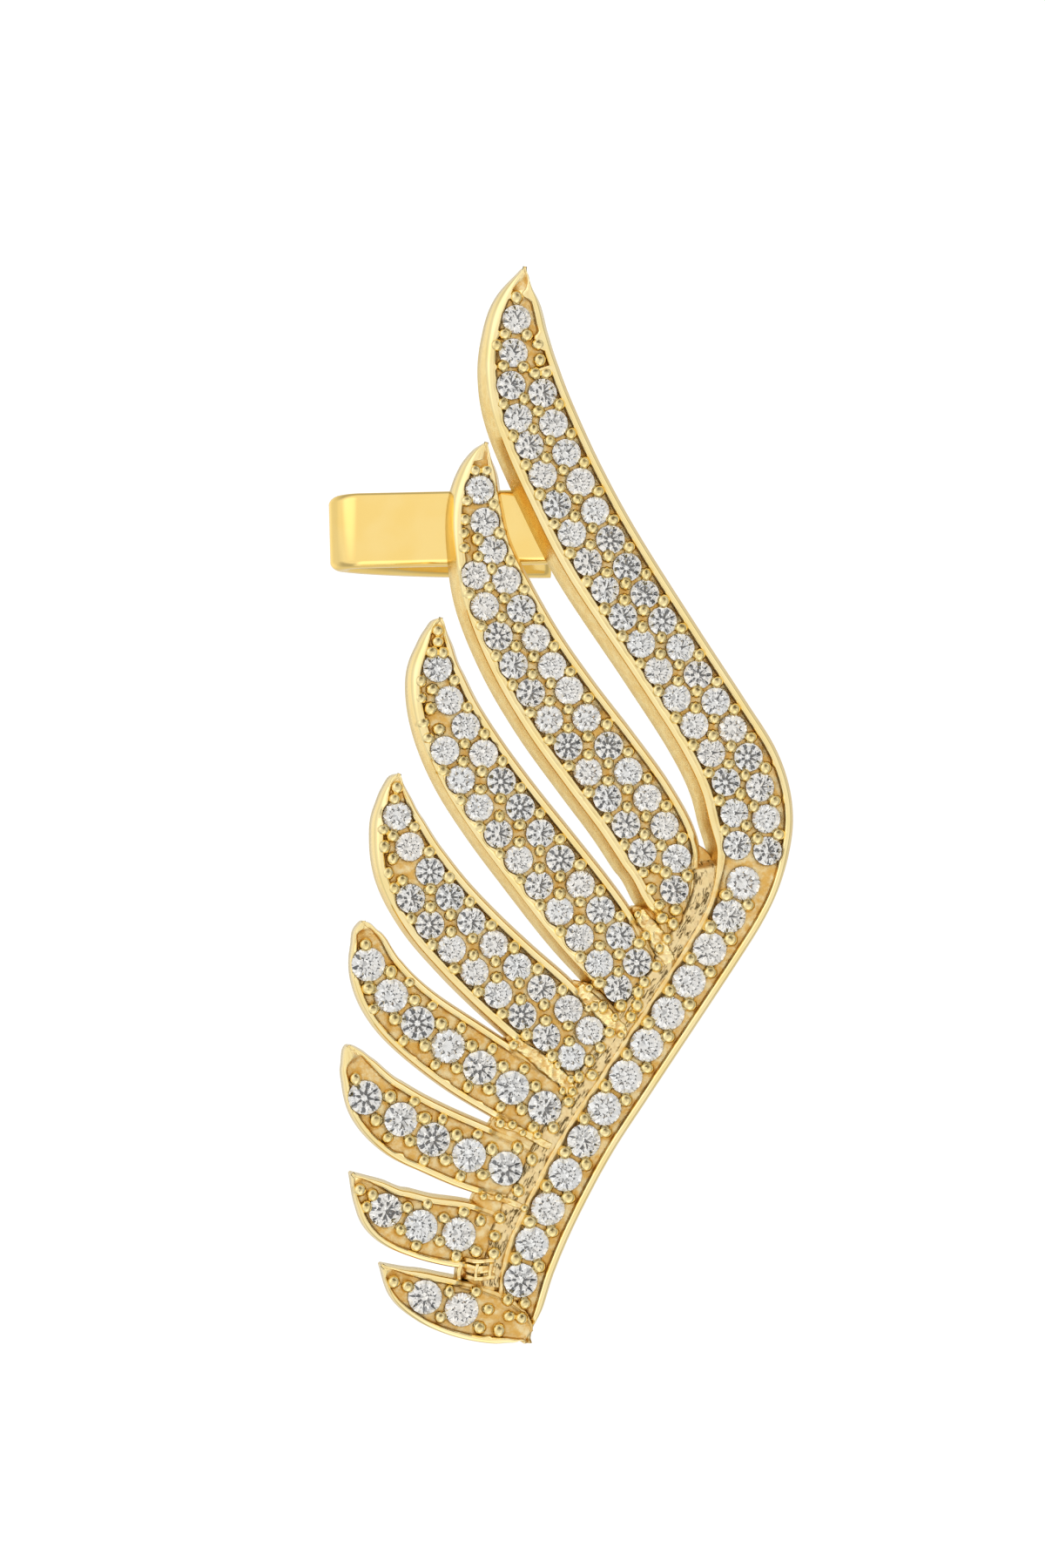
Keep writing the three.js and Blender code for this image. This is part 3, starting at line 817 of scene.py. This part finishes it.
# round brilliants, cut one facet at a time from a short cone
brilliant = {
    "sides": 16, "blank": 4, "table": 0.56, "crownAngle": 34.0, "starAngle": 21.5, "upperAngle": 40.5,
    "pavilionAngle": 41.0, "lowerAngle": 42.3, "girdle": 0.05, "lean": 4.5, "lift": 0.015,
    "depths": (0.965, 1.06),
}


def makeBrilliant():
    bm = bmesh.new()
    sides, table = brilliant["sides"], brilliant["table"]
    apart, halfApart = 360 / sides, 180 / sides
    crown = (1 - table) * math.tan(math.radians(brilliant["crownAngle"]))
    bmesh.ops.create_cone(bm, cap_ends=True, segments=sides, radius1=1, radius2=1, depth=brilliant["blank"])
    bmesh.ops.rotate(bm, matrix=Matrix.Rotation(math.pi / sides, 3, "Z"), verts=bm.verts)

    def cut(point, normal):
        found = bmesh.ops.bisect_plane(
            bm, geom=bm.verts[:] + bm.edges[:] + bm.faces[:], dist=1e-6,
            plane_co=point, plane_no=normal, clear_outer=True)
        opened = [e for e in found["geom_cut"] if isinstance(e, bmesh.types.BMEdge)]
        if opened:
            bmesh.ops.contextual_create(bm, geom=opened)

    def facets(count, start, kind, radius, level):
        upward = 1 if level > 0 else -1
        steep = math.radians(brilliant[kind])
        for i in range(count):
            around = math.radians(start + i * 360 / count)
            out = Vector((math.cos(around), math.sin(around), 0))
            normal = out * math.sin(steep) + Vector((0, 0, upward * math.cos(steep)))
            cut(out * radius + Vector((0, 0, level)), normal)

    half, edge = brilliant["girdle"] / 2, math.cos(math.radians(halfApart))
    cut((0, 0, half + crown), (0, 0, 1))
    facets(sides // 2, 0, "crownAngle", 1.0, half)
    facets(sides, halfApart, "upperAngle", edge, half)
    facets(sides // 2, apart, "starAngle", table * math.cos(math.radians(apart)), half + crown)
    facets(sides // 2, 0, "pavilionAngle", 1.0, -half)
    facets(sides, halfApart, "lowerAngle", edge, -half)
    return asMesh("brilliant", bm)


def makeStones():
    template = makeBrilliant()
    print("brilliant", len(template.polygons), "facets")
    bm = bmesh.new()
    lean, lift = brilliant["lean"], brilliant["lift"]
    for stone in allStones:
        start = len(bm.verts)
        bm.from_mesh(template)
        bm.verts.ensure_lookup_table()
        radius = stone["size"] / 2
        turn = Matrix.Rotation(random.uniform(0, math.pi), 4, "Z")
        tip = Matrix.Rotation(math.radians(random.uniform(-lean, lean)), 4, "X")
        tip = tip @ Matrix.Rotation(math.radians(random.uniform(-lean, lean)), 4, "Y")
        centre = Matrix.Translation((*stone["spot"], wing["girdle"] + random.uniform(-lift, lift)))
        deep = Matrix.Diagonal((radius, radius, radius * random.uniform(*brilliant["depths"]), 1))
        bmesh.ops.transform(bm, matrix=centre @ tip @ turn @ deep, verts=bm.verts[start:])
    finishPiece("stones", bm, clearStone, smooth=False)


makeStones()


# prong beads: where they stand in millimetres, their shape in parts of their own radius
bead = {
    "inner": 0.52, "outer": 0.56, "gap": 0.6, "rim": 0.5, "spare": 0.54, "crumb": (0.3, 0.5),
    "crumbApart": 0.24, "crumbSpread": 1.1, "apart": 0.3, "closeRows": 1.7, "outerAway": 0.45,
    "innerToo": 1.3, "gapAway": (0.52, 0.52), "spineAway": (0.43, 0.5), "rimAway": 0.86, "rimFrom": 1.2,
    "top": (1.65, 1.71), "foot": 1.05, "sides": 10,
    "rings": ((0.27, 1.0), (0.54, 0.9), (0.8, 0.64), (0.97, 0.2), (1.02, -1.0)), "sizes": (0.93, 1.07),
    # footDark sets painted shade at the foot; shade, shadeAt, shadeReach and shadeVaries set a painted dark
    # reflection on the crown
    "stretch": (0.92, 1.08), "lean": (0.12, 0.22), "leanWithin": 0.4, "dimple": 0.13, "footDark": 0.5,
    "shade": (0.14, 1.3), "shadeAt": (0.0, 0.26), "shadeReach": 0.52, "shadeVaries": (0.6, 1.3),
}


# half way between neighbours of a row, with the way to the left and the least half width there
def gapsOf(row):
    for a, b in zip(row, row[1:]):
        left = toLeft((b["spot"] - a["spot"]).normalized())
        yield (a["spot"] + b["spot"]) / 2, left, min(a["half"], b["half"])


def collectBeads():
    beads = []

    def clear(spot, apart):
        return all((spot - other).length > apart for other, _ in beads)

    def add(spot, size):
        if clear(spot, bead["apart"]):
            beads.append((spot, size))

    # crumbs on the fork ridges
    for stations in [*rootMetal["ridges"], *rootMetal["bars"]][:-1]:
        line = smoothLine(stations, 0.1)[3:]
        for _ in range(rootMetal["crumbs"]):
            at, spread = random.choice(line), bead["crumbSpread"]
            spot = at["at"] + at["left"] * random.uniform(-spread, spread) * at["half"]
            if clear(spot, bead["crumbApart"]):
                beads.append((spot, random.uniform(*bead["crumb"])))
    for spot in spareBeads["onTop"] + spareBeads["inPockets"]:
        add(Vector(spot), bead["spare"])
    for name, feather in feathers.items():
        doubles = [row for row in feather["stones"] if row[0]["side"]]
        singles = [row for row in feather["stones"] if not row[0]["side"]]
        inOrder = sorted((s for row in doubles for s in row), key=lambda s: s["travelled"])
        for a, b, c in zip(inOrder, inOrder[1:], inOrder[2:]):
            crossed = len({a["side"], b["side"], c["side"]}) > 1
            if crossed and (a["spot"] - c["spot"]).length < bead["closeRows"]:
                add((a["spot"] + b["spot"] + c["spot"]) / 3, bead["inner"])
        for row in doubles:
            for middle, left, half in gapsOf(row):
                out = left * row[0]["side"] * bead["outerAway"]
                add(middle + out, bead["outer"])
                if half < bead["innerToo"]:
                    add(middle - out, bead["outer"])
        for row in singles:
            onSpine = name == names[0]
            leftAway, rightAway = bead["spineAway" if onSpine else "gapAway"]
            for middle, left, _ in gapsOf(row):
                add(middle + left * leftAway, bead["gap"])
                add(middle - left * rightAway, bead["gap"])
            for s in row:
                if not onSpine and s["half"] > bead["rimFrom"]:
                    out = toLeft(s["along"]) * bead["rimAway"]
                    add(s["spot"] + out, bead["rim"])
                    add(s["spot"] - out, bead["rim"])
    return beads


# a peg with a rounded crown, raised ring by ring from a small disc
def makeBead():
    bm = bmesh.new()
    (first, level), *rings = bead["rings"]
    bmesh.ops.create_circle(bm, cap_ends=True, cap_tris=True, segments=bead["sides"], radius=first)
    bmesh.ops.translate(bm, vec=(0, 0, level), verts=bm.verts)
    for radius, height in rings:
        made = bmesh.ops.extrude_edge_only(bm, edges=[e for e in bm.edges if e.is_boundary])["geom"]
        ring = [g for g in made if isinstance(g, bmesh.types.BMVert)]
        bmesh.ops.scale(bm, vec=(radius / first, radius / first, 1), verts=ring)
        bmesh.ops.translate(bm, vec=(0, 0, height - level), verts=ring)
        first, level = radius, height
    bmesh.ops.holes_fill(bm, edges=[e for e in bm.edges if e.is_boundary], sides=0)
    return asMesh("bead", bm)


def makeBeads():
    template = makeBead()
    beads = collectBeads()
    bm = bmesh.new()
    polish, paintedShadeAndReflection = [bm.verts.layers.float.new(layer) for layer in ("polish", "paintedShadeAndReflection")]
    across, up = bead["lean"]
    body, spotDark = bead["shade"]
    for spot, size in beads:
        start = len(bm.verts)
        bm.from_mesh(template)
        bm.verts.ensure_lookup_table()
        radius = size / 2 * random.uniform(*bead["sizes"])
        stretch = random.uniform(*bead["stretch"])
        top = random.uniform(*bead["top"])
        for vert in bm.verts[start:]:
            shape, out = vert.co.copy(), vert.co.xy.length
            vert[polish] = mix(0.5, 1.0, smoothStep(shape.z, -0.2, 0.5))
            # painted reflection: a dark spot a little above the middle, on a paler shield, and painted shade
            # at the dark foot
            fromSpot = (shape.xy - Vector(bead["shadeAt"])).length
            spotShade = spotDark * (1 - smoothStep(fromSpot, 0.05, bead["shadeReach"]))
            footShade = bead["footDark"] * (1 - smoothStep(shape.z, -0.6, 0.7))
            shade = max(body * (1 - smoothStep(out, 0.5, 0.8)), spotShade, footShade)
            vert[paintedShadeAndReflection] = min(1.0, shade * random.uniform(*bead["shadeVaries"]))
            lean = Vector((random.uniform(-across, across), random.uniform(0, up)))
            if out < bead["leanWithin"]:
                shape.xy += lean
            level = top - radius * (1 - shape.z) if shape.z > 0 else bead["foot"]
            crown = 1 - smoothStep(out, 0.1, 0.4)
            vert.co.x = spot.x + shape.x * radius * stretch
            vert.co.y = spot.y + shape.y * radius / stretch
            vert.co.z = level - crown * bead["dimple"] * radius
    print(len(beads), "beads,", len(template.polygons), "faces each")
    finishPiece("prongBeads", bm, gold)


makeBeads()


# ear band: a rounded strip pushed straight, spun round its fold and its leg, and pushed straight again
band = {
    "width": 2.85, "thickness": 0.85, "corner": 0.28, "cornerSteps": 5, "level": 10.7, "frontEnd": 1.9,
    "frontDepth": 0.3, "frontSteps": 4, "foldX": -7.45, "foldRadius": 0.85, "foldExit": 46,
    "foldSteps": 24, "legRadius": 12, "legExit": 15, "legSteps": 12, "legStraight": 3.0,
    "straightSteps": 3, "endAngles": (0, 18, 36, 54, 70, 83), "lean": 0.06, "turn": 1.5, "bulge": 0.17,
}


def makeBand():
    bm = bmesh.new()
    half, top = band["thickness"] / 2, -band["frontDepth"]
    bmesh.ops.create_grid(bm, x_segments=1, y_segments=1, size=1)
    for vert in bm.verts:
        vert.co = (band["frontEnd"], vert.co.x * band["width"] / 2, top + vert.co.y * half)
    bmesh.ops.bevel(bm, geom=bm.verts[:], offset=band["corner"], affect="VERTICES",
                    segments=band["cornerSteps"], profile=0.5, material=-1)
    end = bm.faces[:]

    def push(shift):
        nonlocal end
        made = bmesh.ops.extrude_face_region(bm, geom=end)["geom"]
        bmesh.ops.delete(bm, geom=end, context="FACES_ONLY")
        end = [g for g in made if isinstance(g, bmesh.types.BMFace)]
        bmesh.ops.translate(bm, vec=shift, verts=end[0].verts)

    def spin(centre, angle, steps):
        nonlocal end
        made = bmesh.ops.spin(
            bm, geom=end, cent=centre, axis=(0, 1, 0), angle=angle, steps=steps, use_merge=False)
        bmesh.ops.delete(bm, geom=end, context="FACES_ONLY")
        end = [g for g in made["geom_last"] if isinstance(g, bmesh.types.BMFace)]

    def outward(bend):
        angle = math.radians(270 - bend)
        return Vector((math.cos(angle), 0, math.sin(angle)))

    foldCentre = Vector((band["foldX"], 0, top - band["foldRadius"]))
    legCentre = foldCentre - outward(band["foldExit"]) * (band["legRadius"] - band["foldRadius"])
    across = outward(band["legExit"])
    along = Vector((-across.z, 0, across.x))
    bmesh.ops.duplicate(bm, geom=end)  # stays behind and closes the front end
    for _ in range(band["frontSteps"]):
        push(Vector((band["foldX"] - band["frontEnd"], 0, 0)) / band["frontSteps"])
    spin(foldCentre, -math.radians(180 - band["foldExit"]), band["foldSteps"])
    spin(legCentre, -math.radians(band["foldExit"] - band["legExit"]), band["legSteps"])
    for _ in range(band["straightSteps"]):
        push(along * (band["legStraight"] - half) / band["straightSteps"])
    # the leg's end is half round through its thickness
    angles = [math.radians(a) for a in band["endAngles"]]
    for before, after in zip(angles, angles[1:]):
        push(along * half * (math.sin(after) - math.sin(before)))
        middle = end[0].calc_center_median()
        for vert in end[0].verts:
            offset = (vert.co - middle).dot(across)
            vert.co += across * offset * (math.cos(after) / math.cos(before) - 1)
    bmesh.ops.remove_doubles(bm, verts=bm.verts, dist=weld)
    polish = bm.verts.layers.float.new("polish")
    for vert in bm.verts:
        vert[polish] = 1.0
        # the fold is fullest along its middle
        aside = abs(vert.co.y) / (band["width"] / 2)
        vert.co.x += band["bulge"] * aside ** 3 * smoothStep(band["foldX"] - vert.co.x, -0.2, 1.2)
        vert.co.y += band["lean"] * vert.co.z
    turn = Matrix.Rotation(math.radians(band["turn"]), 4, "Z")
    bmesh.ops.transform(bm, matrix=Matrix.Translation((0, band["level"], 0)) @ turn, verts=bm.verts)
    finishPiece("earBand", bm, bandGold)


makeBand()


# floor and light; each light is a direction from the face, a half angle and a strength
studio = {
    "floorSize": 1.6, "floorColour": (0.12, 0.12, 0.12, 1), "floorRoughness": 0.9, "floorGlow": 0.96,
    "dome": 0.97, "hole": 14.0, "holeShift": 0.3, "holeDepth": 0.97, "horizonShade": 0.48,
    "horizonEdges": (0.02, 0.5), "belowEdges": (0.25, 0.8, 0.6), "cloudScale": 2.6,
    "cloudEdges": (0.52, 0.6), "cloudDepth": 0.45, "softness": 0.45,
    "lights": [
        ((-0.75, 0.35, 0.6), 24.0, 0.4), ((0.55, 0.6, 0.6), 18.0, 0.4), ((0.15, -0.75, 0.6), 24.0, 0.5),
        ((-1.0, 0.0, -0.9), 34.0, 0.35), ((0.0, -1.0, 0.1), 18.0, 0.5),
    ],
}


def makeFloor():
    bm = bmesh.new()
    bmesh.ops.create_grid(bm, x_segments=1, y_segments=1, size=studio["floorSize"])
    floor = bpy.data.objects.new("floor", asMesh("floor", bm))
    scene.collection.objects.link(floor)
    material, nodes = newMaterial("floorPaper")
    nodes.surface({
        "Base Color": studio["floorColour"], "Roughness": studio["floorRoughness"],
        "Emission Color": (1, 1, 1, 1), "Emission Strength": studio["floorGlow"]})
    floor.data.materials.append(material)
    # mirrors and stones see the dome below the horizon in place of the bright floor
    floor.visible_glossy = False
    floor.visible_transmission = False


def makeDome():
    world = bpy.data.worlds.new("studio")
    scene.world = world
    world.use_nodes = True
    nodes = Nodes(world.node_tree)
    way = nodes.node("ShaderNodeTexCoord", output="Generated")

    def spotMask(direction, radius, soft):
        values = {0: way, 1: direction}
        facing = nodes.node("ShaderNodeVectorMath", {"operation": "DOT_PRODUCT"}, values, "Value")
        outer, inner = [math.cos(math.radians(radius * share)) for share in (1 + soft, 1 - soft)]
        return nodes.stretch(facing, outer, inner)

    # the stones look up into a dark spot that lies behind the camera, and at soft clouds
    face = tilt @ Vector((0, 0, 1))
    mirrored = 2 * cameraWay.dot(face) * face - cameraWay
    holeWay = (cameraWay + (cameraWay - mirrored) * studio["holeShift"]).normalized()
    hole = spotMask(holeWay, studio["hole"], 0.1)
    height = nodes.node("ShaderNodeSeparateXYZ", {}, {0: way}, "Z")
    low, high, most = studio["belowEdges"]
    below = nodes.stretch(height * -1, low, high, (0.0, most))
    horizon = 1 - nodes.stretch(height, *studio["horizonEdges"]) - below
    clouds = nodes.stretch(nodes.noise(way, studio["cloudScale"]), *studio["cloudEdges"])
    through = nodes.node("ShaderNodeLightPath", output="Is Transmission Ray")
    level = 1 - horizon * studio["horizonShade"] - clouds * studio["cloudDepth"] * through
    for direction, radius, strength in studio["lights"]:
        level = level + spotMask(tilt @ Vector(direction).normalized(), radius, studio["softness"]) * strength
    # the camera itself sees plain white
    seen = nodes.node("ShaderNodeLightPath", output="Is Camera Ray")
    level = level * (1 - hole * through * studio["holeDepth"])
    level = level * studio["dome"] * (1 - seen) + seen
    shader = nodes.node("ShaderNodeBackground", {}, {"Color": (1, 1, 1, 1), "Strength": level})
    nodes.node("ShaderNodeOutputWorld", {}, {"Surface": shader})
    scene.view_settings.view_transform = "Standard"


makeFloor()
makeDome()
print("floor and light ready")
